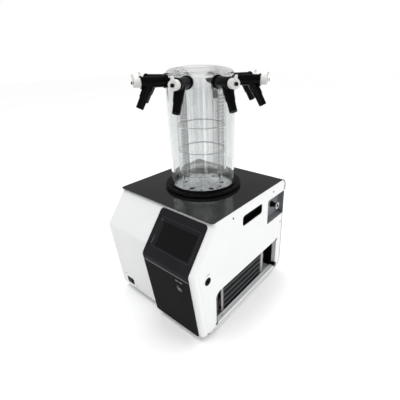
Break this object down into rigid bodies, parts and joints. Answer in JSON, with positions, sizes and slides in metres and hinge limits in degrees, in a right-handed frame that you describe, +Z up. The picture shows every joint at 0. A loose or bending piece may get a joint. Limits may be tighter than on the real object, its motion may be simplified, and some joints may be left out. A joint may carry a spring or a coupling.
{
  "type": "freeze dryer",
  "caption": "Benchtop laboratory freeze dryer: white cabinet with a sloping touch-screen console and a tall clear drying chamber ringed by flask valves.",
  "frame": {"origin": "centre of the footprint of the whole machine at bench level, under the feet", "axes": "+Z up along the drying chamber, -Y the operator front with the console, +X the side with the condenser window"},
  "size_m": [0.476, 0.596, 0.911],
  "materials": {
    "white_paint": "satin powder coat",
    "black_roof": "gloss black coat",
    "black_panel": "gloss black panel",
    "bright_trim": "satin",
    "screen_glass": "display glass",
    "steel": "brushed",
    "black_rubber": "satin moulded rubber",
    "white_plastic": "satin moulding",
    "clear_acrylic": "clear polished acrylic",
    "dark_plastic": "fine texture",
    "grey_plastic": "fine texture",
    "aluminium": "mill finish",
    "copper": "drawn copper tube",
    "black_paint": "satin",
    "foam": "closed-cell foam"
  },
  "bodies": {
    "machine": {"air_shroud": "black_paint", "baffle_plate": "steel", "band_lower": "black_panel", "band_trim": "bright_trim", "band_upper": "black_panel", "base_tray": "white_paint", "button_bezel": "steel", "chamber": "clear_acrylic", "cold_trap": "steel", "compressor": "black_paint", "condenser_coil": "copper", "condenser_core": "aluminium", "drain_port": "dark_plastic", "filter_drier": "copper", "foot_1": "black_rubber", "foot_2": "black_rubber", "foot_3": "black_rubber", "foot_4": "black_rubber", "front_console": "white_paint", "front_panel_left": "white_paint", "gasket_ring": "black_rubber", "handle_cup_left": "dark_plastic", "handle_cup_right": "dark_plastic", "power_inlet": "dark_plastic", "rack_base": "clear_acrylic", "rack_ring_1": "clear_acrylic", "rack_ring_2": "clear_acrylic", "rack_tier_1": "clear_acrylic", "rack_tier_2": "clear_acrylic", "rack_tier_3": "clear_acrylic", "rack_top": "clear_acrylic", "rear_panel": "white_paint", "recess_tray": "grey_plastic", "side_panel_left": "white_paint", "side_panel_right": "white_paint", "switch_frame": "dark_plastic", "top_plate": "black_roof", "touch_screen": "screen_glass", "trap_jacket": "foam", "vacuum_flange": "steel", "vacuum_neck": "dark_plastic", "valve_body_1": "black_rubber", "valve_body_2": "black_rubber", "valve_body_3": "black_rubber", "valve_body_4": "black_rubber", "valve_body_5": "black_rubber", "valve_body_6": "black_rubber", "valve_body_7": "black_rubber", "valve_body_8": "black_rubber"},
    "button": {"power_button": "steel"},
    "rocker_arm": {"rocker": "dark_plastic"},
    "knob_1": {"valve_knob_1": "white_plastic"},
    "knob_2": {"valve_knob_2": "white_plastic"},
    "knob_3": {"valve_knob_3": "white_plastic"},
    "knob_4": {"valve_knob_4": "white_plastic"},
    "knob_5": {"valve_knob_5": "white_plastic"},
    "knob_6": {"valve_knob_6": "white_plastic"},
    "knob_7": {"valve_knob_7": "white_plastic"},
    "knob_8": {"valve_knob_8": "white_plastic"}
  },
  "joints": [
    {"name": "power_button_push", "type": "slide", "parent": "machine", "child": "button", "axis": [0, 0.9911, 0.1332], "range_m": [0, 0.0025], "stiffness_N_per_m": 400, "springref_m": -0.002},
    {"name": "rocker_switch", "type": "hinge", "parent": "machine", "child": "rocker_arm", "pos_m": [-0.172, -0.24665, 0.06429], "axis": [0, -0.1022, 0.9948], "range_deg": [0, 18]},
    {"name": "valve_1_turn", "type": "hinge", "parent": "machine", "child": "knob_1", "pos_m": [0.20233, 0.11881, 0.861], "axis": [0.9239, 0.3827, 0], "continuous": true},
    {"name": "valve_2_turn", "type": "hinge", "parent": "machine", "child": "knob_2", "pos_m": [0.08381, 0.23733, 0.861], "axis": [0.3827, 0.9239, 0], "continuous": true},
    {"name": "valve_3_turn", "type": "hinge", "parent": "machine", "child": "knob_3", "pos_m": [-0.08381, 0.23733, 0.861], "axis": [-0.3827, 0.9239, 0], "continuous": true},
    {"name": "valve_4_turn", "type": "hinge", "parent": "machine", "child": "knob_4", "pos_m": [-0.20233, 0.11881, 0.861], "axis": [-0.9239, 0.3827, 0], "continuous": true},
    {"name": "valve_5_turn", "type": "hinge", "parent": "machine", "child": "knob_5", "pos_m": [-0.20233, -0.04881, 0.861], "axis": [-0.9239, -0.3827, 0], "continuous": true},
    {"name": "valve_6_turn", "type": "hinge", "parent": "machine", "child": "knob_6", "pos_m": [-0.08381, -0.16733, 0.861], "axis": [-0.3827, -0.9239, 0], "continuous": true},
    {"name": "valve_7_turn", "type": "hinge", "parent": "machine", "child": "knob_7", "pos_m": [0.08381, -0.16733, 0.861], "axis": [0.3827, -0.9239, 0], "continuous": true},
    {"name": "valve_8_turn", "type": "hinge", "parent": "machine", "child": "knob_8", "pos_m": [0.20233, -0.04881, 0.861], "axis": [0.9239, -0.3827, 0], "continuous": true}
  ]
}
